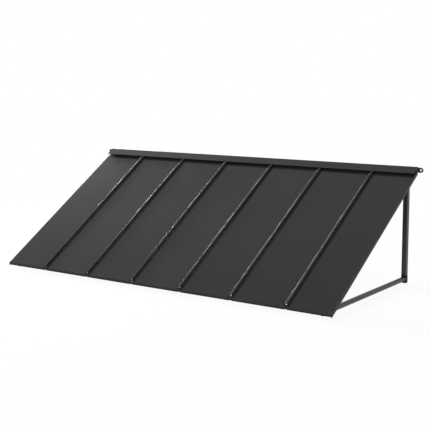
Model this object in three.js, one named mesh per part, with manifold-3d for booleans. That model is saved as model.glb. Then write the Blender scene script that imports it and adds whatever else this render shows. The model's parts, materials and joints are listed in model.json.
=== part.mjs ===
// Metal door canopy: seven folded roof pans on a light tube frame that is fixed to a wall.
// Millimetres, +Z up. X runs along the wall, the wall face is Y = 0 and the front looks to -Y.
// Z = 0 is the underside of the two corner joints at the foot of the frame.
import * as THREE from "three";
import { mergeVertices } from "three/addons/utils/BufferGeometryUtils.js";
import Module from "manifold-3d";

const wasm = await Module();
wasm.setup();

// Roof: how far it reaches from the wall, and the heights of the pans' upper face at both ends
const roofReach = 889.7;
const wallHeight = 585;
const frontHeight = 28.9;

// Sheet metal and its folds
const sheet = 0.8;
const bendRadius = 2.5;
const bendSteps = 3;
const hemGap = 0.6;
const hemReturn = 8;
const sideFold = 17;
const frontFold = 13;

// Standing seams and the widths of the roof's end pans, from the outermost seams to its sides
const seamCount = 6;
const seamPitch = 304.8;
const firstPan = 280;
const lastPan = 235.2;
const seamWidth = 14;
const seamHeight = 12;
const seamSetback = 5;

// Tabs that close the lower ends of the seams
const tabEar = 8;
const tabDrop = 9;

// Cap strip along the wall, measured down the slope
const capReach = 49;

// Head rail: a round bar with flattened and drilled ends
const headRailDiameter = 17;
const lugOverhang = 14;
const lugDiameter = 26;
const lugThickness = 3;
const lugHole = 9.6;
const flattenedLength = 16;
const flatteningSteps = 4;

// Posts and the corner joints below them
const postSize = 25.4;
const postWall = 1.5;
const postCorner = 2;
const postInset = 43.8;
const jointHeight = 40;
const tongueLength = 18;

// Arms and their front plugs
const armDiameter = 25.4;
const armWall = 1.5;
const armHeight = 20.9;
const plugDisc = 3;
const plugLength = 12;

// Rafters, purlin and front rail under the pans
const rafterWidth = 20;
const rafterDepth = 24;
const rafterWall = 1.5;
const purlinSize = 20;
const purlinWall = 1.5;
const purlinPlace = 510;
const frontRailDepth = 15;
const frontRailHeight = 12;
const frontRailWall = 1.2;

// Gap between pieces that meet
const clearance = 0.3;

// Fineness of small corners and of round sections, and how close two points count as one
const cornerSteps = 2;
const roundSteps = 16;
const samePoint = 0.001;

// Sizes that follow from the ones above
const roofWidth = firstPan + (seamCount - 1) * seamPitch + lastPan;
const halfWidth = roofWidth / 2;
const slope = Math.atan2(wallHeight - frontHeight, roofReach);
const slopeLength = roofReach / Math.cos(slope);
const underPans = -sheet - clearance;
const headRailRadius = headRailDiameter / 2;
const headRailPlace = onSlope(headRailRadius, seamHeight - headRailRadius);
const panStart = headRailPlace.along + headRailRadius + clearance;
const postX = halfWidth - postInset - postSize / 2;
const hemDepth = 2 * sheet + hemGap;
const capTop = seamHeight + clearance + hemDepth;
const frontRailFront = roofReach - hemDepth - clearance;
const frontRailBack = frontRailFront - frontRailDepth;
const frontRailTop = heightAt(frontRailFront, underPans);
const plugFront = frontRailBack - clearance;
const armStart = postSize + clearance;
const armEnd = plugFront - plugDisc - clearance;
const armBore = armDiameter - 2 * armWall;

// Height at a distance out from the wall, on the plane that lies a given rise above the pans
function heightAt(out, rise) {
  return wallHeight - out * Math.tan(slope) + rise / Math.cos(slope);
}

// Place down the slope, and height, of a point given by its distance out and its rise
function onSlope(out, rise) {
  return {
    along: (out - rise * Math.sin(slope)) / Math.cos(slope),
    height: heightAt(out, rise),
  };
}

const painted = new THREE.MeshStandardMaterial({ color: 0x2b2b2c, roughness: 0.5, metalness: 0.3 });
const tubePaint = new THREE.MeshStandardMaterial({ color: 0x38383a, roughness: 0.45, metalness: 0.3 });
const plastic = new THREE.MeshStandardMaterial({ color: 0x0d0d0e, roughness: 0.6, metalness: 0 });

function solidOf(geometry) {
  geometry.deleteAttribute("normal");
  geometry.deleteAttribute("uv");
  const merged = mergeVertices(geometry);
  const vertProperties = new Float32Array(merged.attributes.position.array);
  const triVerts = new Uint32Array(merged.index.array);
  return new wasm.Manifold(new wasm.Mesh({ numProp: 3, vertProperties, triVerts }));
}

function addMesh(parent, name, solid, material) {
  const cut = solid.getMesh();
  const geometry = new THREE.BufferGeometry();
  geometry.setAttribute("position", new THREE.BufferAttribute(cut.vertProperties, 3));
  geometry.setIndex(new THREE.BufferAttribute(cut.triVerts, 1));
  geometry.computeVertexNormals();
  const mesh = new THREE.Mesh(geometry, material);
  mesh.name = name;
  parent.add(mesh);
  return mesh;
}

function extrude(shape, depth, curveSegments = cornerSteps) {
  return new THREE.ExtrudeGeometry(shape, { depth, bevelEnabled: false, curveSegments });
}

// Box between two corners
function block(low, high) {
  const size = high.map((value, axis) => value - low[axis]);
  const geometry = new THREE.BoxGeometry(...size);
  geometry.translate(...low.map((value, axis) => value + size[axis] / 2));
  return geometry;
}

// Open path with an arc of the bend radius, or the most that fits, at each corner
function bentPath(corners) {
  const points = corners.map(([x, y]) => new THREE.Vector2(x, y));
  const path = [points[0]];
  for (let i = 1; i < points.length - 1; i++) {
    const corner = points[i];
    const back = points[i - 1].clone().sub(corner);
    const ahead = points[i + 1].clone().sub(corner);
    const halfTurn = (Math.PI - back.angleTo(ahead)) / 2;
    const room = Math.min(back.length(), ahead.length()) / 2;
    const radius = Math.min(bendRadius, room / Math.tan(halfTurn));
    const side = Math.sign(ahead.cross(back));
    const towards = back.normalize().clone().add(ahead.normalize()).normalize();
    const centre = corner.clone().addScaledVector(towards, radius / Math.cos(halfTurn));
    const start = corner.clone().addScaledVector(back, radius * Math.tan(halfTurn));
    for (let step = 0; step <= bendSteps; step++) {
      const point = start.clone().rotateAround(centre, (side * 2 * halfTurn * step) / bendSteps);
      if (point.distanceTo(path[path.length - 1]) > samePoint) path.push(point);
    }
  }
  path.push(points[points.length - 1]);
  return path;
}

// Section of a bent sheet that lies to the right of its path
function sheetSection(corners) {
  const path = bentPath(corners);
  const rightOf = (from, to) => new THREE.Vector2(to.y - from.y, from.x - to.x).normalize();
  const inner = path.map((point, i) => {
    const before = rightOf(path[Math.max(i - 1, 0)], path[Math.max(i, 1)]);
    const after = rightOf(path[Math.min(i, path.length - 2)], path[Math.min(i + 1, path.length - 1)]);
    const reach = sheet / (1 + before.dot(after));
    return point.clone().addScaledVector(before.add(after), reach);
  });
  return new THREE.Shape([...path, ...inner.reverse()]);
}

// Rectangle with rounded corners, centred on the origin
function roundedRectangle(target, width, depth, radius) {
  const x = width / 2 - radius;
  const y = depth / 2 - radius;
  target.absarc(x, y, radius, 0, Math.PI / 2);
  target.absarc(-x, y, radius, Math.PI / 2, Math.PI);
  target.absarc(-x, -y, radius, Math.PI, 1.5 * Math.PI);
  target.absarc(x, -y, radius, 1.5 * Math.PI, 2 * Math.PI);
  target.closePath();
  return target;
}

function boxTube(width, depth, wall, radius) {
  const section = roundedRectangle(new THREE.Shape(), width, depth, radius);
  const boreRadius = Math.max(radius - wall, wall / 3);
  section.holes.push(roundedRectangle(new THREE.Path(), width - 2 * wall, depth - 2 * wall, boreRadius));
  return section;
}

function disc(radius) {
  return new THREE.Shape().absarc(0, 0, radius, 0, 2 * Math.PI);
}

function seamCentre(index) {
  return firstPan - halfWidth + index * seamPitch;
}

// Path of a hemmed side fold, from the tip of its return up to the roof's edge, for the left side
function sideFoldCorners(side) {
  return [
    [side * (halfWidth - hemDepth), hemReturn - sideFold],
    [side * (halfWidth - hemDepth), -sideFold],
    [side * halfWidth, -sideFold],
    [side * halfWidth, 0],
  ];
}

// Left edge of a pan: a hemmed side fold, or a leg that stands inside its neighbour's seam
function leftCorners(index) {
  if (index === 0) return sideFoldCorners(-1);
  const leg = seamCentre(index - 1) + seamWidth / 2 - sheet - clearance;
  return [
    [leg, seamHeight - sheet - bendRadius],
    [leg, 0],
  ];
}

// Right edge of a pan: a hemmed side fold, or a seam that covers its neighbour's leg
function rightCorners(index) {
  if (index === seamCount) return sideFoldCorners(1).reverse();
  const centre = seamCentre(index);
  return [
    [centre - seamWidth / 2, 0],
    [centre - seamWidth / 2, seamHeight],
    [centre + seamWidth / 2, seamHeight],
    [centre + seamWidth / 2, bendRadius],
  ];
}

// Section of the front edge, bent down to stand upright, with its hem folded up behind
function frontFoldSection() {
  const down = (distance, out) => [
    slopeLength + distance * Math.sin(slope) - out * Math.cos(slope),
    -distance * Math.cos(slope) - out * Math.sin(slope),
  ];
  return sheetSection([
    [slopeLength - 2 * hemReturn, 0],
    down(0, 0),
    down(frontFold, 0),
    down(frontFold, hemDepth),
    down(frontFold - hemReturn, hemDepth),
  ]);
}

// Places a section drawn down the slope across the roof, between two X values
function acrossRoof(section, from, to) {
  return extrude(section, to - from).rotateY(-Math.PI / 2).translate(to, 0, 0);
}

// Turns what is drawn in the world's frame into the roof's own frame
function intoRoof(geometry) {
  return geometry.translate(0, 0, -wallHeight).rotateX(-Math.PI / 2 - slope);
}

function makePan(index) {
  const left = leftCorners(index);
  const right = rightCorners(index);
  const body = extrude(sheetSection([...left, ...right]), slopeLength + sideFold);
  let pan = solidOf(body.translate(0, 0, panStart));
  const bodyEnd = hemDepth - sheet / 2 - roofReach;
  const beyond = block([-roofWidth, -2 * roofReach, -wallHeight], [roofWidth, bodyEnd, wallHeight]);
  pan = pan.subtract(solidOf(intoRoof(beyond)));
  const seamEnd = slopeLength - seamSetback;
  for (const seam of [index - 1, index].filter((value) => value >= 0 && value < seamCount)) {
    const reach = seamWidth / 2 + bendRadius;
    const low = [seamCentre(seam) - reach, 0, seamEnd];
    const high = [seamCentre(seam) + reach, 2 * seamHeight, 2 * slopeLength];
    pan = pan.subtract(solidOf(block(low, high)));
  }
  const foldStart = index === 0 ? -halfWidth : left[0][0] - sheet;
  const foldEnd = index === seamCount ? halfWidth : right[0][0];
  return pan.add(solidOf(acrossRoof(frontFoldSection(), foldStart, foldEnd)));
}

// Tab that closes a seam's lower end and folds down over the gap in the front edge
function makeSeamTab(index) {
  const centre = seamCentre(index);
  const rise = clearance + sheet;
  const face = slopeLength - seamSetback + clearance + sheet;
  const bend = onSlope(roofReach + clearance + sheet, rise).along;
  const section = sheetSection([
    [face, seamHeight],
    [face, rise],
    [bend, rise],
    [bend + tabDrop * Math.sin(slope), rise - tabDrop * Math.cos(slope)],
  ]);
  return solidOf(acrossRoof(section, centre - seamWidth / 2 - tabEar, centre + seamWidth / 2));
}

// Cap strip whose hemmed edge lies on the seams, with a leg against the wall above the head rail
function makeRidgeCap() {
  const ridge = onSlope(0, capTop);
  const legHeight = ridge.height - headRailPlace.height - headRailRadius - clearance;
  const section = sheetSection([
    [ridge.along + legHeight * Math.sin(slope), capTop - legHeight * Math.cos(slope)],
    [ridge.along, capTop],
    [capReach, capTop],
    [capReach, capTop - hemDepth],
    [capReach - hemReturn, capTop - hemDepth],
  ]);
  let cap = solidOf(acrossRoof(section, -halfWidth, halfWidth));
  const flattenedStart = halfWidth - flattenedLength - clearance;
  for (const side of [-1, 1]) {
    const ends = [side * flattenedStart, side * roofWidth].sort((a, b) => a - b);
    const legTop = heightAt(lugThickness, capTop - sheet);
    const relief = block([ends[0], -lugThickness, 0], [ends[1], lugThickness, legTop]);
    cap = cap.subtract(solidOf(intoRoof(relief)));
  }
  return cap;
}

// Round head rail whose ends are flattened against the wall, rounded and drilled
function makeHeadRail() {
  const stations = [];
  for (let step = 0; step <= flatteningSteps; step++) {
    stations.push(halfWidth - (flattenedLength * step) / flatteningSteps);
  }
  stations.push(...stations.map((value) => -value).reverse());
  const rows = stations.length - 1;
  const bar = new THREE.CylinderGeometry(1, 1, rows, 2 * roundSteps, rows).rotateZ(-Math.PI / 2);
  const place = bar.attributes.position;
  for (let i = 0; i < place.count; i++) {
    const x = stations[Math.round(rows / 2 - place.getX(i))];
    const part = THREE.MathUtils.smoothstep(Math.abs(x), halfWidth - flattenedLength, halfWidth);
    const deep = THREE.MathUtils.lerp(headRailRadius, lugThickness / 2, part);
    const tall = THREE.MathUtils.lerp(headRailRadius, lugDiameter / 2, part);
    place.setXYZ(i, x, -deep + deep * place.getY(i), tall * place.getZ(i));
  }
  let rail = solidOf(bar);
  for (const side of [-1, 1]) {
    const lug = new THREE.Shape();
    lug.absarc(lugOverhang, 0, lugDiameter / 2, -Math.PI / 2, Math.PI / 2);
    lug.lineTo(-flattenedLength / flatteningSteps, lugDiameter / 2);
    lug.lineTo(-flattenedLength / flatteningSteps, -lugDiameter / 2);
    lug.closePath();
    lug.holes.push(new THREE.Path().absarc(lugOverhang, 0, lugHole / 2, 0, 2 * Math.PI));
    const plate = extrude(lug, lugThickness, roundSteps).rotateX(Math.PI / 2);
    if (side < 0) plate.rotateZ(Math.PI).translate(0, -lugThickness, 0);
    rail = rail.add(solidOf(plate.translate(side * halfWidth, 0, 0)));
  }
  return rail;
}

// Square post, cut level under the head rail and along the slope under the pans
function makePost() {
  const bottom = jointHeight + clearance;
  const top = headRailPlace.height - headRailRadius - clearance;
  const tube = extrude(boxTube(postSize, postSize, postWall, postCorner), top - bottom);
  const post = solidOf(tube.translate(0, -postSize / 2, bottom));
  const cut = new THREE.Shape([
    new THREE.Vector2(-2 * postSize, heightAt(2 * postSize, underPans)),
    new THREE.Vector2(0, heightAt(0, underPans)),
    new THREE.Vector2(-2 * postSize, heightAt(0, underPans)),
  ]);
  const wedge = extrude(cut, 2 * postSize).rotateY(Math.PI / 2).rotateX(Math.PI / 2);
  return post.subtract(solidOf(wedge.translate(-postSize, 0, 0)));
}

// Corner joint: a block with a tongue up into the post and a spigot into the arm
function makeCornerJoint() {
  const foot = extrude(roundedRectangle(new THREE.Shape(), postSize, postSize, postCorner), jointHeight);
  const tongueSize = postSize - 2 * postWall - 2 * clearance;
  const tongueSection = roundedRectangle(new THREE.Shape(), tongueSize, tongueSize, postWall);
  const tongue = extrude(tongueSection, 2 * tongueLength);
  const spigotRadius = armBore / 2 - clearance;
  const spigotLength = postSize / 2 + tongueLength;
  const spigot = extrude(disc(spigotRadius), spigotLength, roundSteps).rotateX(Math.PI / 2);
  const level = block([-postSize, -2 * postSize, 0], [postSize, 0, jointHeight]);
  const arm = solidOf(spigot.translate(0, 0, armHeight)).intersect(solidOf(level));
  const lift = jointHeight - tongueLength;
  return solidOf(foot).add(solidOf(tongue.translate(0, 0, lift))).add(arm);
}

function makeArm() {
  const ring = disc(armDiameter / 2);
  ring.holes.push(new THREE.Path().absarc(0, 0, armBore / 2, 0, 2 * Math.PI));
  return solidOf(extrude(ring, armEnd - armStart, roundSteps).rotateX(Math.PI / 2));
}

function makeArmPlug() {
  const stemRadius = armBore / 2 - clearance;
  const profile = [
    [0, 0],
    [stemRadius, 0],
    [stemRadius, plugLength],
    [armDiameter / 2, plugLength],
    [armDiameter / 2, plugLength + plugDisc],
    [0, plugLength + plugDisc],
  ];
  const points = profile.map(([radius, along]) => new THREE.Vector2(radius, along));
  return solidOf(new THREE.LatheGeometry(points, 2 * roundSteps).rotateX(Math.PI));
}

// Rafter under the pans, from the post down to the arm, cut upright and level at its lower end
function makeRafter() {
  const tube = extrude(boxTube(rafterWidth, rafterDepth, rafterWall, rafterWall), slopeLength);
  const start = onSlope(armStart, underPans);
  tube.translate(0, underPans - rafterDepth / 2, 0);
  tube.rotateX(Math.PI / 2 + slope).translate(0, 0, wallHeight);
  const low = armHeight + armDiameter / 2 + clearance;
  const room = block([-rafterWidth, -plugFront, low], [rafterWidth, -armStart, start.height + rafterDepth]);
  return solidOf(tube).intersect(solidOf(room));
}

function makePurlin() {
  const length = 2 * (postX - rafterWidth / 2 - clearance);
  const tube = extrude(boxTube(purlinSize, purlinSize, purlinWall, purlinWall), length);
  tube.rotateY(Math.PI / 2).translate(-length / 2, underPans - purlinSize / 2, purlinPlace);
  return solidOf(tube);
}

function makeFrontRail() {
  const length = 2 * (halfWidth - hemDepth - clearance);
  const tube = extrude(boxTube(frontRailHeight, frontRailDepth, frontRailWall, frontRailWall), length);
  return solidOf(tube.rotateY(Math.PI / 2).translate(-length / 2, 0, 0));
}

const group = new THREE.Group();

const roof = new THREE.Group();
roof.position.z = wallHeight;
roof.rotation.x = Math.PI / 2 + slope;
group.add(roof);
for (let index = 0; index <= seamCount; index++) {
  addMesh(roof, `pan_${index + 1}`, makePan(index), painted);
}
for (let index = 0; index < seamCount; index++) {
  addMesh(roof, `seam_tab_${index + 1}`, makeSeamTab(index), painted);
}
addMesh(roof, "ridge_cap", makeRidgeCap(), painted);
addMesh(roof, "mid_purlin", makePurlin(), tubePaint);

const headRail = addMesh(group, "head_rail", makeHeadRail(), tubePaint);
headRail.position.z = headRailPlace.height;

const frontRail = addMesh(group, "front_rail", makeFrontRail(), tubePaint);
frontRail.position.set(0, -(frontRailFront + frontRailBack) / 2, frontRailTop - frontRailHeight / 2);

for (const [side, x] of [["left", -postX], ["right", postX]]) {
  addMesh(group, `${side}_post`, makePost(), tubePaint).position.x = x;
  addMesh(group, `${side}_rafter`, makeRafter(), tubePaint).position.x = x;
  addMesh(group, `${side}_corner_joint`, makeCornerJoint(), plastic).position.set(x, -postSize / 2, 0);
  addMesh(group, `${side}_arm`, makeArm(), tubePaint).position.set(x, -armStart, armHeight);
  const plugPlace = [x, -(plugFront - plugDisc - plugLength), armHeight];
  addMesh(group, `${side}_arm_plug`, makeArmPlug(), plastic).position.set(...plugPlace);
}

export default group;
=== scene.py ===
import json
import math

import bmesh
import bpy
from mathutils import Matrix, Vector


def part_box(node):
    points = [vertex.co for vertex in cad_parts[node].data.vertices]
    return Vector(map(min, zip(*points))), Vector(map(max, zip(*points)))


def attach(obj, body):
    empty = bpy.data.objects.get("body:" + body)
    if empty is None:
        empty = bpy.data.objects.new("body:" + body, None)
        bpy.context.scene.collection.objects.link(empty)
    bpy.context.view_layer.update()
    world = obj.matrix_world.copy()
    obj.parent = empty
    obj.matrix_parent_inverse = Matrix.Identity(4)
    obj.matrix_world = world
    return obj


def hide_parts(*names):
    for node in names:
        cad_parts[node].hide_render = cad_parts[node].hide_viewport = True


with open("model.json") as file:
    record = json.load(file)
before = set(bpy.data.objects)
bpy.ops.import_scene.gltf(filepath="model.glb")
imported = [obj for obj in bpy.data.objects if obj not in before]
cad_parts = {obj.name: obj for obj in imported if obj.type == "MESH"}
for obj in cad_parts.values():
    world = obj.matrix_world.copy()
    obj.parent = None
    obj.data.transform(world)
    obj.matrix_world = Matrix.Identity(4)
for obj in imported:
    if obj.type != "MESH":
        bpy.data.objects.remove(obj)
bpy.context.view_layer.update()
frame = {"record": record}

# Camera, as worked out from the photograph, in metres and degrees
camera_place = Vector((3.005076, -4.547367, 1.115134))
camera_azimuth = math.radians(35.517)
camera_elevation = math.radians(8.832)
camera_roll = math.radians(-0.309)
picture_width = 430
focal_pixels = 969.362
sensor_width = 36.0

# Roof
half_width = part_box("ridge_cap")[1].x
roof_reach = 0.8897
wall_height = 0.585
front_height = 0.0289

# Sheet metal and its folds
sheet = 0.0008
bend_radius = 0.0025
hem_gap = 0.0006
hem_return = 0.008
side_fold = 0.017
front_fold = 0.013

# Standing seams, the tabs at their lower ends and the cap strip above them
seam_count = 6
seam_pitch = 0.3048
first_pan = 0.28
seam_width = 0.014
seam_height = 0.012
seam_setback = 0.005
tab_ear = 0.008
tab_drop = 0.009
tab_corner = 0.0018
cap_reach = 0.049

# Head rail
rail_radius = 0.0085
lug_overhang = 0.014
lug_diameter = 0.026
lug_thickness = 0.003
lug_hole = 0.0096
flattened_length = 0.016
flattening_steps = 8

# Posts, arms and what joins and closes them
post_size = 0.0254
post_wall = 0.0015
post_corner = 0.002
joint_height = 0.04
tongue_length = 0.018
joint_edge = 0.0012
arm_diameter = 0.0254
arm_wall = 0.0015
arm_height = 0.0209
plug_disc = 0.003
plug_edge = 0.001

# Rafters, purlin and front rail
rafter_width = 0.02
rafter_depth = 0.024
rafter_wall = 0.0015
purlin_size = 0.02
purlin_place = 0.51
front_rail_wall = 0.0012

# Gap between pieces, steps in a quarter bend, facets round a tube and steps of rounded corners
clearance = 0.0003
bend_steps = 6
tube_facets = 64
corner_segments = 5
lug_segments = 16
edge_segments = 4

# How close two points count as one, how alike two directions are, and what counts as a sharp edge
near = 0.00005
nearly_along = 0.9
outer_edge_angle = 0.1
smooth_angle = math.radians(35)

# Sizes that follow from the ones above
slope = math.atan2(wall_height - front_height, roof_reach)
slope_length = roof_reach / math.cos(slope)
hem_depth = 2 * sheet + hem_gap
hem_radius = hem_depth / 2
under_pans = -sheet - clearance
cap_top = seam_height + clearance + hem_depth
body_end = (roof_reach - hem_depth + sheet / 2) / math.cos(slope)
seam_end = slope_length - seam_setback
right_angle = math.pi / 2

# Studio: the floor shows as white, less a share near the canopy that keeps the shadow
floor_gap = 0.0004
floor_size = 60.0
floor_tone = (0.86, 0.86, 0.86, 1)
floor_roughness = 0.9
floor_gloss = 0.1
shadow_near = 1.6
shadow_far = 3.2
white_share_near = 0.93
world_level = 0.38

# Lamps: place, aim, size and watts
lamps = {
    "overhead_lamp": ((0.4, -0.5, 3.6), (0, -0.45, 0.3), (0.6, 0.6), 28),
    "left_back_lamp": ((-6.2, 3.9, 3.6), (0, -0.4, 0.4), (3.2, 1.2), 900),
    "front_lamp": ((-1.2, -4.6, 1.6), (0, -0.6, 0.2), (1.4, 1.4), 60),
}

# Share of the fine grain in a powder coat's pattern
grain_share = 0.35


def height_at(out, rise):
    return wall_height - out * math.tan(slope) + rise / math.cos(slope)


def down_slope(out, rise):
    return (out - rise * math.sin(slope)) / math.cos(slope)


rail_height = height_at(rail_radius, seam_height - rail_radius)
pan_start = down_slope(rail_radius, seam_height - rail_radius) + rail_radius + clearance


def place_camera():
    data = bpy.data.cameras.new("camera")
    data.sensor_width = sensor_width
    data.lens = focal_pixels / picture_width * sensor_width
    data.clip_end = 100.0
    camera = bpy.data.objects.new("camera", data)
    bpy.context.scene.collection.objects.link(camera)
    sin_a, cos_a = math.sin(camera_azimuth), math.cos(camera_azimuth)
    sin_e, cos_e = math.sin(camera_elevation), math.cos(camera_elevation)
    back = Vector((sin_a * cos_e, -cos_a * cos_e, sin_e))
    right = Vector((0, 0, 1)).cross(back).normalized()
    up = back.cross(right)
    rolled_right = right * math.cos(camera_roll) + up * math.sin(camera_roll)
    rolled_up = up * math.cos(camera_roll) - right * math.sin(camera_roll)
    turned = Matrix((rolled_right, rolled_up, back)).transposed().to_4x4()
    camera.matrix_world = Matrix.Translation(camera_place) @ turned
    bpy.context.scene.camera = camera


# Steps that all pieces share: starting, picking, folding, cutting and finishing


def start(name, add_primitive, **values):
    """Adds a primitive on a clear bench, applies its place and opens it for editing."""
    bpy.ops.object.select_all(action="DESELECT")
    add_primitive(**values)
    piece = bpy.context.object
    piece["stands_for"] = name
    bpy.ops.object.transform_apply(location=True, rotation=True, scale=True)
    bpy.ops.object.mode_set(mode="EDIT")
    bpy.ops.mesh.select_mode(type="EDGE")
    bpy.ops.mesh.select_all(action="DESELECT")
    return piece


def flat_blank(name, low, high, rise):
    """Blank of sheet between two corners, each given as X and the way up the slope."""
    piece = start(
        name,
        bpy.ops.mesh.primitive_plane_add,
        size=1,
        location=((low[0] + high[0]) / 2, (low[1] + high[1]) / 2, rise),
        scale=(high[0] - low[0], high[1] - low[1], 1),
    )
    # The size of a plane is taken from its corners, since adding it ignores the scale
    for vertex in bmesh.from_edit_mesh(piece.data).verts:
        vertex.co.x = low[0] if vertex.co.x < (low[0] + high[0]) / 2 else high[0]
        vertex.co.y = low[1] if vertex.co.y < (low[1] + high[1]) / 2 else high[1]
    bmesh.update_edit_mesh(piece.data)
    return piece


def pick_edges(piece, wanted, border=True):
    bpy.ops.mesh.select_all(action="DESELECT")
    shape = bmesh.from_edit_mesh(piece.data)
    for edge in shape.edges:
        if (edge.is_boundary or not border) and all(wanted(vertex.co) for vertex in edge.verts):
            edge.select_set(True)
    bmesh.update_edit_mesh(piece.data)


def pick_edges_along(piece, axis, wanted=lambda co: True):
    """Picks the edges that run along an axis and have both ends where they are wanted."""
    bpy.ops.mesh.select_all(action="DESELECT")
    shape = bmesh.from_edit_mesh(piece.data)
    for edge in shape.edges:
        way = (edge.verts[0].co - edge.verts[1].co).normalized()
        if abs(way.dot(axis)) > nearly_along and all(wanted(vertex.co) for vertex in edge.verts):
            edge.select_set(True)
    bmesh.update_edit_mesh(piece.data)


def pick_faces(piece, wanted):
    bpy.ops.mesh.select_all(action="DESELECT")
    shape = bmesh.from_edit_mesh(piece.data)
    for face in shape.faces:
        if wanted(face.calc_center_median(), face.normal):
            face.select_set(True)
    bmesh.update_edit_mesh(piece.data)


def fold(place, heading, edge_way, steps):
    """Carries the picked edges on by straight runs and bends, each a (run, turn, radius)."""
    place, heading, edge_way = Vector(place), Vector(heading), Vector(edge_way)
    for run, turn, radius in steps:
        if run > 0:
            bpy.ops.mesh.extrude_region_move(TRANSFORM_OT_translate={"value": heading * run})
            place = place + heading * run
        if turn:
            axis = edge_way if turn > 0 else -edge_way
            centre = place + axis.cross(heading) * radius
            facets = max(3, round(bend_steps * abs(turn) / right_angle))
            bpy.ops.mesh.spin(steps=facets, angle=-abs(turn), center=centre, axis=axis)
            turned = Matrix.Rotation(abs(turn), 3, axis)
            place = centre + turned @ (place - centre)
            heading = turned @ heading


def cut(place, normal):
    """Cuts all of the piece off on the side that the normal points to."""
    bpy.ops.mesh.select_all(action="SELECT")
    bpy.ops.mesh.bisect(plane_co=place, plane_no=normal, clear_outer=True)


def remove_faces(piece, wanted):
    pick_faces(piece, wanted)
    bpy.ops.mesh.delete(type="FACE")


def apply_modifier(piece, kind, **values):
    modifier = piece.modifiers.new(kind.lower(), kind)
    for key, value in values.items():
        setattr(modifier, key, value)
    bpy.ops.object.modifier_apply(modifier=modifier.name)


def smooth(piece):
    bpy.ops.object.shade_smooth_by_angle(angle=smooth_angle)
    apply_modifier(piece, "WEIGHTED_NORMAL", keep_sharp=True, weight=80)


def close_edit(piece, turn_up=None):
    """Merges doubles and points the faces out, or those of a sheet the way that turn_up says."""
    bpy.ops.mesh.select_all(action="SELECT")
    bpy.ops.mesh.remove_doubles(threshold=near / 5)
    bpy.ops.mesh.normals_make_consistent(inside=False)
    if turn_up is not None:
        shape = bmesh.from_edit_mesh(piece.data)
        shape.faces.ensure_lookup_table()
        largest = max(shape.faces, key=lambda face: face.calc_area())
        if largest.normal.dot(turn_up) < 0:
            bpy.ops.mesh.flip_normals()
    bpy.ops.object.mode_set(mode="OBJECT")


def thicken(piece, thickness):
    """Gives a surface its wall, on the inner side of its faces."""
    apply_modifier(piece, "SOLIDIFY", thickness=thickness, offset=-1, use_even_offset=True)


def finish_sheet(piece):
    """Gives a folded blank its thickness and sets it on the slope of the roof."""
    close_edit(piece, Vector((0, 0, 1)))
    thicken(piece, sheet)
    piece.rotation_euler.x = slope
    piece.location.z = wall_height
    bpy.ops.object.transform_apply(location=True, rotation=True, scale=True)
    smooth(piece)


def copy_piece(piece, name, offset):
    bpy.ops.object.select_all(action="DESELECT")
    piece.select_set(True)
    bpy.context.view_layer.objects.active = piece
    bpy.ops.object.duplicate()
    twin = bpy.context.object
    twin["stands_for"] = name
    twin.location = offset
    bpy.ops.object.transform_apply(location=True, rotation=True, scale=True)
    return twin


# Roof: pans, seam tabs and ridge cap


def seam_x(index):
    return first_pan - half_width + index * seam_pitch


def hemmed_side(turn):
    down = side_fold - bend_radius - hem_radius
    return [(0, turn, bend_radius), (down, 2 * turn, hem_radius), (hem_return - hem_radius, 0, 0)]


def make_pan(index):
    first, last = index == 0, index == seam_count
    left = -half_width if first else seam_x(index - 1) + seam_width / 2 - sheet - clearance
    right = half_width if last else seam_x(index) - seam_width / 2
    flat_left, flat_right = left + bend_radius, right - bend_radius
    low = (flat_left, -slope_length - side_fold)
    pan = flat_blank(f"pan_{index + 1}", low, (flat_right, -pan_start), 0)

    pick_edges(pan, lambda co: co.x < flat_left + near)
    leg = [(0, right_angle, bend_radius), (seam_height - sheet - 2 * bend_radius, 0, 0)]
    fold((flat_left, 0, 0), (-1, 0, 0), (0, 1, 0), hemmed_side(-right_angle) if first else leg)
    pick_edges(pan, lambda co: abs(co.x - flat_right) < near and abs(co.z) < near)
    rise = seam_height - 2 * bend_radius
    seam = [
        (0, -right_angle, bend_radius),
        (rise, right_angle, bend_radius),
        (seam_width - 2 * bend_radius, right_angle, bend_radius),
        (rise, 0, 0),
    ]
    fold((flat_right, 0, 0), (1, 0, 0), (0, 1, 0), hemmed_side(right_angle) if last else seam)

    cut((0, -body_end, 0), (0, -math.cos(slope), math.sin(slope)))
    bpy.ops.mesh.select_all(action="SELECT")
    bpy.ops.mesh.bisect(plane_co=(0, -seam_end, 0), plane_no=(0, -1, 0))
    remove_faces(pan, lambda co, normal: co.z > near and co.y < -seam_end)
    fold_front(pan, flat_left, flat_right)
    grow = {flat_left: -bend_radius if first else -bend_radius - sheet, flat_right: bend_radius}
    for side, growth in grow.items():
        pick_edges(pan, lambda co: abs(co.x - side) < near and co.y < near - seam_end)
        bpy.ops.mesh.extrude_region_move(TRANSFORM_OT_translate={"value": (growth, 0, 0)})
    finish_sheet(pan)
    return pan


def fold_front(pan, flat_left, flat_right):
    """Bends a pan's front edge down to stand upright and folds its hem up behind."""
    pick_edges(
        pan,
        lambda co: abs(co.y + body_end) < near
        and flat_left - near < co.x < flat_right + near
        and abs(co.z) < near,
    )
    turn = right_angle - slope
    setback = bend_radius * math.tan(turn / 2)
    steps = [
        (slope_length - setback - body_end, turn, bend_radius),
        (front_fold - setback - hem_radius, 2 * right_angle, hem_radius),
        (hem_return - hem_radius, 0, 0),
    ]
    fold((0, -body_end, 0), (0, -1, 0), (1, 0, 0), steps)


def make_pans():
    """The two end pans are made one by one, and the pans between them are copies of one another."""
    pans = [make_pan(0), make_pan(1)]
    for index in range(2, seam_count):
        pans.append(copy_piece(pans[1], f"pan_{index + 1}", ((index - 1) * seam_pitch, 0, 0)))
    return pans + [make_pan(seam_count)]


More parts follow.
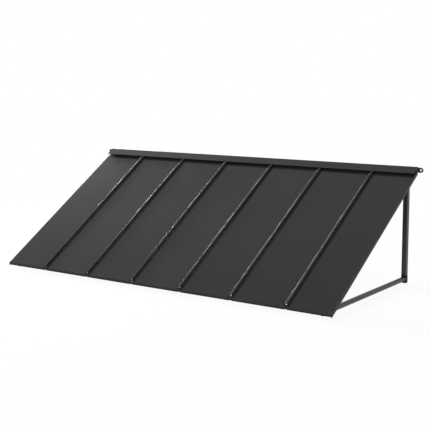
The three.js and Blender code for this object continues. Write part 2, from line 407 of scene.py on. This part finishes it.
def make_seam_tabs():
    """Tabs that close the seams' lower ends and fold down over the gaps in the front edge."""
    rise = clearance + sheet
    face = seam_end + clearance + sheet
    bend = down_slope(roof_reach + clearance + sheet, rise)
    turn = right_angle - slope
    setback = tab_corner * math.tan(turn / 2)
    low = (seam_x(0) - seam_width / 2 - tab_ear, setback - bend)
    tab = flat_blank("seam_tab_1", low, (seam_x(0) + seam_width / 2, -face - tab_corner), rise)
    pick_edges(tab, lambda co: co.y > -face - tab_corner - near)
    up = [(0, right_angle, tab_corner), (seam_height - rise - tab_corner, 0, 0)]
    fold((0, -face - tab_corner, rise), (0, 1, 0), (1, 0, 0), up)
    pick_edges(tab, lambda co: co.y < setback - bend + near)
    down = [(0, turn, tab_corner), (tab_drop - setback, 0, 0)]
    fold((0, setback - bend, rise), (0, -1, 0), (1, 0, 0), down)
    round_corners(tab, lambda co: co.z > seam_height - near or co.z < -tab_drop / 2)
    finish_sheet(tab)
    tabs = [tab]
    for index in range(1, seam_count):
        tabs.append(copy_piece(tab, f"seam_tab_{index + 1}", (index * seam_pitch, 0, 0)))
    return tabs


def round_corners(piece, wanted):
    """Rounds the free corners of a blank."""
    bpy.ops.mesh.select_all(action="DESELECT")
    bpy.ops.mesh.select_mode(type="VERT")
    shape = bmesh.from_edit_mesh(piece.data)
    for vertex in shape.verts:
        vertex.select_set(wanted(vertex.co))
    bmesh.update_edit_mesh(piece.data)
    bpy.ops.mesh.bevel(offset=tab_corner, segments=corner_segments, affect="VERTICES")
    bpy.ops.mesh.select_mode(type="EDGE")


def make_ridge_cap():
    """Cap strip with a leg against the wall and a hem that lies on the seams."""
    turn = right_angle + slope
    setback = bend_radius * math.tan(turn / 2)
    ridge = down_slope(0, cap_top)
    leg = height_at(0, cap_top) - rail_height - rail_radius - clearance
    low = (-half_width, hem_radius - cap_reach)
    cap = flat_blank("ridge_cap", low, (half_width, -ridge - setback), cap_top)
    pick_edges(cap, lambda co: co.y > -ridge - setback - near)
    down = [(0, -turn, bend_radius), (leg - setback, 0, 0)]
    fold((0, -ridge - setback, cap_top), (0, 1, 0), (1, 0, 0), down)
    pick_edges(cap, lambda co: co.y < hem_radius - cap_reach + near)
    hem = [(0, 2 * right_angle, hem_radius), (hem_return - hem_radius, 0, 0)]
    fold((0, hem_radius - cap_reach, cap_top), (0, -1, 0), (1, 0, 0), hem)
    relief = half_width - flattened_length - clearance
    for side in (-1, 1):
        bpy.ops.mesh.select_all(action="SELECT")
        bpy.ops.mesh.bisect(plane_co=(side * relief, 0, 0), plane_no=(side, 0, 0))
        remove_faces(
            cap,
            lambda co, normal: co.x * side > relief
            and -co.y * math.cos(slope) + co.z * math.sin(slope) < lug_thickness,
        )
    finish_sheet(cap)
    return cap


# Frame: head rail, posts, arms, rafters, purlin and front rail


def make_head_rail():
    """Round rail whose ends are flattened against the wall and carry rounded, drilled lugs."""
    straight = half_width - flattened_length
    rail = start(
        "head_rail",
        bpy.ops.mesh.primitive_cylinder_add,
        vertices=tube_facets,
        radius=rail_radius,
        depth=2 * straight,
        location=(0, -rail_radius, rail_height),
        rotation=(0, right_angle, 0),
    )
    for side in (-1, 1):
        pick_faces(rail, lambda co, normal: normal.x * side > nearly_along)
        deep, tall, x = rail_radius, rail_radius, side * straight
        for step in range(1, flattening_steps + 1):
            part = step / flattening_steps
            eased = part * part * (3 - 2 * part)
            new_deep = rail_radius + (lug_thickness / 2 - rail_radius) * eased
            new_tall = rail_radius + (lug_diameter / 2 - rail_radius) * eased
            advance = side * flattened_length / flattening_steps
            bpy.ops.mesh.extrude_region_move(TRANSFORM_OT_translate={"value": (advance, 0, 0)})
            x += advance
            bpy.ops.transform.resize(
                value=(1, new_deep / deep, new_tall / tall), center_override=(x, 0, rail_height)
            )
            deep, tall = new_deep, new_tall
    close_edit(rail)
    for side in (-1, 1):
        join_solid(rail, make_lug(side), "UNION")
        hole = start(
            "hole",
            bpy.ops.mesh.primitive_cylinder_add,
            vertices=tube_facets,
            radius=lug_hole / 2,
            depth=4 * lug_thickness,
            location=(side * (half_width + lug_overhang), 0, rail_height),
            rotation=(right_angle, 0, 0),
        )
        close_edit(hole)
        join_solid(rail, hole, "DIFFERENCE")
    smooth(rail)
    return rail


def make_lug(side):
    inner = half_width - flattened_length / flattening_steps
    outer = half_width + lug_overhang + lug_diameter / 2
    lug = start(
        "lug",
        bpy.ops.mesh.primitive_cube_add,
        size=1,
        location=(side * (inner + outer) / 2, -lug_thickness / 2, rail_height),
        scale=(outer - inner, lug_thickness, lug_diameter),
    )
    pick_edges_along(lug, Vector((0, 1, 0)), lambda co: co.x * side > outer - near)
    bpy.ops.mesh.bevel(offset=lug_diameter / 2 - near, segments=lug_segments, affect="EDGES")
    close_edit(lug)
    return lug


def join_solid(piece, tool, operation):
    """Joins a second solid to a piece, or cuts it out of the piece, and clears the second one away."""
    bpy.ops.object.select_all(action="DESELECT")
    bpy.context.view_layer.objects.active = piece
    piece.select_set(True)
    apply_modifier(piece, "BOOLEAN", object=tool, operation=operation, solver="EXACT")
    bpy.data.objects.remove(tool)


def square_tube(name, size, place, wall, corner, along, turn=0.0, cuts=()):
    """Square tube with rounded corners and open ends, cut where the cuts say."""
    tube = start(
        name,
        bpy.ops.mesh.primitive_cube_add,
        size=1,
        location=place,
        rotation=(turn, 0, 0),
        scale=size,
    )
    axis = Matrix.Rotation(turn, 3, "X") @ Vector(along)
    pick_faces(tube, lambda co, normal: abs(normal.dot(axis)) > nearly_along)
    bpy.ops.mesh.delete(type="ONLY_FACE")
    pick_edges_along(tube, axis)
    bpy.ops.mesh.bevel(offset=corner, segments=corner_segments, affect="EDGES")
    for cut_place, cut_normal in cuts:
        cut(cut_place, cut_normal)
    close_edit(tube)
    thicken(tube, wall)
    smooth(tube)
    return tube


def make_post(name):
    low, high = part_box(name)
    out_of_pans = (0, -math.sin(slope), math.cos(slope))
    under = [((0, 0, height_at(0, under_pans)), out_of_pans)]
    middle = (low + high) / 2
    return square_tube(name, high - low, middle, post_wall, post_corner, (0, 0, 1), cuts=under)


def make_rafter(name):
    low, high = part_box(name)
    rise = under_pans - rafter_depth / 2
    middle = Matrix.Rotation(slope, 3, "X") @ Vector((0, -slope_length / 2, rise))
    middle += Vector(((low.x + high.x) / 2, 0, wall_height))
    size = (rafter_width, slope_length, rafter_depth)
    cuts = [
        ((0, high.y, 0), (0, 1, 0)),
        ((0, low.y, 0), (0, -1, 0)),
        ((0, 0, low.z), (0, 0, -1)),
    ]
    return square_tube(name, size, middle, rafter_wall, rafter_wall, (0, 1, 0), slope, cuts)


def make_purlin(name):
    low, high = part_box(name)
    rise = under_pans - purlin_size / 2
    middle = Matrix.Rotation(slope, 3, "X") @ Vector((0, -purlin_place, rise))
    middle += Vector((0, 0, wall_height))
    size = (high.x - low.x, purlin_size, purlin_size)
    return square_tube(name, size, middle, rafter_wall, rafter_wall, (1, 0, 0), slope)


def make_front_rail(name):
    low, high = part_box(name)
    middle = (low + high) / 2
    return square_tube(name, high - low, middle, front_rail_wall, front_rail_wall, (1, 0, 0))


def make_corner_joint(name):
    """Moulded block with a tongue up into the post and a spigot into the arm."""
    low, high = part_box(name)
    x = (low.x + high.x) / 2
    joint = start(
        name,
        bpy.ops.mesh.primitive_cube_add,
        size=1,
        location=(x, -post_size / 2, joint_height / 2),
        scale=(post_size, post_size, joint_height),
    )
    pick_faces(joint, lambda co, normal: normal.z > nearly_along)
    bpy.ops.mesh.inset(thickness=post_wall + clearance)
    bpy.ops.mesh.extrude_region_move(TRANSFORM_OT_translate={"value": (0, 0, tongue_length)})
    bpy.ops.mesh.select_all(action="DESELECT")
    shape = bmesh.from_edit_mesh(joint.data)
    for edge in shape.edges:
        edge.select_set(edge.calc_face_angle_signed() > outer_edge_angle)
    bmesh.update_edit_mesh(joint.data)
    bpy.ops.mesh.bevel(offset=joint_edge, segments=edge_segments, affect="EDGES")
    close_edit(joint)
    spigot = start(
        "spigot",
        bpy.ops.mesh.primitive_cylinder_add,
        vertices=tube_facets,
        radius=arm_diameter / 2 - arm_wall - clearance,
        depth=post_size / 2 + tongue_length,
        location=(x, -post_size / 2 - (post_size / 2 + tongue_length) / 2, arm_height),
        rotation=(right_angle, 0, 0),
    )
    close_edit(spigot)
    join_solid(joint, spigot, "UNION")
    smooth(joint)
    return joint


def make_arm(name):
    """Round tube from the corner joint to the front."""
    low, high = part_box(name)
    arm = start(
        name,
        bpy.ops.mesh.primitive_cylinder_add,
        vertices=tube_facets,
        radius=arm_diameter / 2,
        depth=high.y - low.y,
        end_fill_type="NOTHING",
        location=(low + high) / 2,
        rotation=(right_angle, 0, 0),
    )
    close_edit(arm)
    thicken(arm, arm_wall)
    smooth(arm)
    return arm


def make_arm_plug(name):
    """Push-in plug: a disc over the end of the arm, with a stem inside it."""
    low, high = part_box(name)
    middle = (low + high) / 2
    plug = start(
        name,
        bpy.ops.mesh.primitive_cylinder_add,
        vertices=tube_facets,
        radius=arm_diameter / 2,
        depth=plug_disc,
        location=(middle.x, low.y + plug_disc / 2, middle.z),
        rotation=(right_angle, 0, 0),
    )
    pick_edges(plug, lambda co: co.y < low.y + near, border=False)
    bpy.ops.mesh.bevel(offset=plug_edge, segments=edge_segments, affect="EDGES")
    pick_faces(plug, lambda co, normal: normal.y > nearly_along)
    bpy.ops.mesh.inset(thickness=arm_wall + clearance)
    stem = high.y - low.y - plug_disc
    bpy.ops.mesh.extrude_region_move(TRANSFORM_OT_translate={"value": (0, stem, 0)})
    close_edit(plug)
    smooth(plug)
    return plug


# Finishes


def new_material(name):
    material = bpy.data.materials.new(name)
    material.use_nodes = True
    tree = material.node_tree
    return material, tree, tree.nodes["Principled BSDF"]


def add_node(tree, kind, **values):
    """Adds a node and sets its own properties or the inputs of those names."""
    node = tree.nodes.new(kind)
    for key, value in values.items():
        if hasattr(node, key):
            setattr(node, key, value)
        else:
            node.inputs[key.replace("_", " ").title()].default_value = value
    return node


def object_noise(tree, scale, detail):
    """Noise in the piece's own coordinates."""
    place = tree.nodes.new("ShaderNodeTexCoord")
    noise = add_node(tree, "ShaderNodeTexNoise", scale=scale, detail=detail)
    tree.links.new(place.outputs["Object"], noise.inputs["Vector"])
    return noise.outputs["Fac"]


def vary_surface(tree, shader, pattern, tones, span, roughness):
    """Makes tone and roughness follow a pattern, the tones over a span of it."""
    link = tree.links.new
    tone = tree.nodes.new("ShaderNodeValToRGB")
    for element, position, color in zip(tone.color_ramp.elements, span, tones):
        element.position = position
        element.color = color
    link(pattern, tone.inputs["Fac"])
    link(tone.outputs["Color"], shader.inputs["Base Color"])
    gloss = tree.nodes.new("ShaderNodeMapRange")
    gloss.inputs["To Min"].default_value = roughness[0]
    gloss.inputs["To Max"].default_value = roughness[1]
    link(pattern, gloss.inputs["Value"])
    link(gloss.outputs["Result"], shader.inputs["Roughness"])


def roughen(tree, shader, grain, strength):
    """Fine bump that follows the grain."""
    bump = add_node(tree, "ShaderNodeBump", strength=strength, distance=0.0002)
    tree.links.new(grain, bump.inputs["Height"])
    tree.links.new(bump.outputs["Normal"], shader.inputs["Normal"])


def powder_coat(name, tones, roughness, level):
    """Satin powder coat: fine orange peel, slow drift of tone and of gloss."""
    material, tree, shader = new_material(name)
    shader.inputs["Specular IOR Level"].default_value = level
    drift = object_noise(tree, scale=2.3, detail=4.0)
    grain = object_noise(tree, scale=420.0, detail=3.0)
    mixed = add_node(tree, "ShaderNodeMath", operation="MULTIPLY_ADD")
    tree.links.new(grain, mixed.inputs[0])
    mixed.inputs[1].default_value = grain_share
    tree.links.new(drift, mixed.inputs[2])
    vary_surface(tree, shader, mixed.outputs[0], tones, (0.4, 0.95), roughness)
    roughen(tree, shader, grain, 0.05)
    return material


def moulded_plastic(name, tones, roughness, level):
    """Black plastic with a fine matte grain."""
    material, tree, shader = new_material(name)
    shader.inputs["Specular IOR Level"].default_value = level
    grain = object_noise(tree, scale=900.0, detail=2.0)
    vary_surface(tree, shader, grain, tones, (0, 1), roughness)
    roughen(tree, shader, grain, 0.3)
    return material


def make_finishes():
    roof_tones = (0.02, 0.02, 0.0203, 1), (0.027, 0.027, 0.0275, 1)
    frame_tones = (0.045, 0.045, 0.0455, 1), (0.06, 0.06, 0.061, 1)
    plastic_tones = (0.002, 0.002, 0.0022, 1), (0.006, 0.006, 0.0065, 1)
    return {
        "roof_paint": powder_coat("roof_paint", roof_tones, roughness=(0.15, 0.19), level=0.14),
        "frame_paint": powder_coat("frame_paint", frame_tones, roughness=(0.3, 0.38), level=0.3),
        "black_plastic": moulded_plastic("black_plastic", plastic_tones, roughness=(0.5, 0.65), level=0.12),
    }


# Floor, world and lamps


def studio_floor():
    bpy.ops.mesh.primitive_plane_add(size=floor_size, location=(0, 0, -floor_gap))
    floor = bpy.context.object
    floor.name = "studio_floor"
    material, tree, shader = new_material("studio_floor")
    link = tree.links.new
    shader.inputs["Base Color"].default_value = floor_tone
    shader.inputs["Roughness"].default_value = floor_roughness
    shader.inputs["Specular IOR Level"].default_value = floor_gloss
    place = tree.nodes.new("ShaderNodeTexCoord")
    distance = tree.nodes.new("ShaderNodeVectorMath")
    distance.operation = "LENGTH"
    link(place.outputs["Object"], distance.inputs[0])
    fade = tree.nodes.new("ShaderNodeMapRange")
    fade.interpolation_type = "SMOOTHSTEP"
    fade.inputs["From Min"].default_value = shadow_near
    fade.inputs["From Max"].default_value = shadow_far
    fade.inputs["To Min"].default_value = white_share_near
    fade.inputs["To Max"].default_value = 1.0
    link(distance.outputs["Value"], fade.inputs["Value"])
    seen = seen_rays(tree)
    share = add_node(tree, "ShaderNodeMath", operation="MULTIPLY")
    link(seen, share.inputs[0])
    link(fade.outputs["Result"], share.inputs[1])
    white = add_node(tree, "ShaderNodeEmission", strength=1.0)
    mix = tree.nodes.new("ShaderNodeMixShader")
    link(share.outputs[0], mix.inputs[0])
    link(shader.outputs[0], mix.inputs[1])
    link(white.outputs[0], mix.inputs[2])
    link(mix.outputs[0], tree.nodes["Material Output"].inputs["Surface"])
    floor.data.materials.append(material)


def seen_rays(tree):
    """1 for camera, glossy and transmission rays, 0 for the rest."""
    path = tree.nodes.new("ShaderNodeLightPath")
    first = add_node(tree, "ShaderNodeMath", operation="MAXIMUM")
    tree.links.new(path.outputs["Is Camera Ray"], first.inputs[0])
    tree.links.new(path.outputs["Is Glossy Ray"], first.inputs[1])
    second = add_node(tree, "ShaderNodeMath", operation="MAXIMUM")
    tree.links.new(first.outputs[0], second.inputs[0])
    tree.links.new(path.outputs["Is Transmission Ray"], second.inputs[1])
    return second.outputs[0]


def white_world():
    world = bpy.data.worlds.new("white_world")
    world.use_nodes = True
    tree = world.node_tree
    background = tree.nodes["Background"]
    background.inputs["Color"].default_value = (1, 1, 1, 1)
    level = tree.nodes.new("ShaderNodeMapRange")
    level.inputs["To Min"].default_value = world_level
    level.inputs["To Max"].default_value = 1.0
    tree.links.new(seen_rays(tree), level.inputs["Value"])
    tree.links.new(level.outputs["Result"], background.inputs["Strength"])
    bpy.context.scene.world = world


def soft_lamp(name, place, aim, size, watts):
    data = bpy.data.lights.new(name, "AREA")
    data.shape = "RECTANGLE"
    data.size, data.size_y = size
    data.energy = watts
    lamp = bpy.data.objects.new(name, data)
    bpy.context.scene.collection.objects.link(lamp)
    lamp.location = place
    lamp.rotation_euler = (Vector(aim) - Vector(place)).to_track_quat("-Z", "Y").to_euler()


# Putting the canopy together


def hand_over(piece, finish_of, slot_of):
    """Sets the finish, and puts the piece in the place of the plain solid that it stands for."""
    node = piece["stands_for"]
    slot = slot_of[node]
    piece.name = f"finished_{node}"
    piece.data.name = piece.name
    piece.data.materials.clear()
    piece.data.materials.append(finish_of[slot])
    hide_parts(node)
    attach(piece, "root")


def make_canopy():
    """Makes every piece, each named for the solid whose place it takes."""
    pieces = make_pans() + make_seam_tabs() + [make_ridge_cap(), make_head_rail()]
    pieces += [make_purlin("mid_purlin"), make_front_rail("front_rail")]
    for side in ("left", "right"):
        pieces += [
            make_post(f"{side}_post"),
            make_rafter(f"{side}_rafter"),
            make_corner_joint(f"{side}_corner_joint"),
            make_arm(f"{side}_arm"),
            make_arm_plug(f"{side}_arm_plug"),
        ]
    finish_of = make_finishes()
    slot_of = {part["node"]: part["material_slot"] for part in frame["record"]["subparts"]}
    for piece in pieces:
        hand_over(piece, finish_of, slot_of)


make_canopy()
place_camera()
white_world()
studio_floor()
for lamp_name, values in lamps.items():
    soft_lamp(lamp_name, *values)

bpy.context.scene.view_settings.view_transform = "Standard"
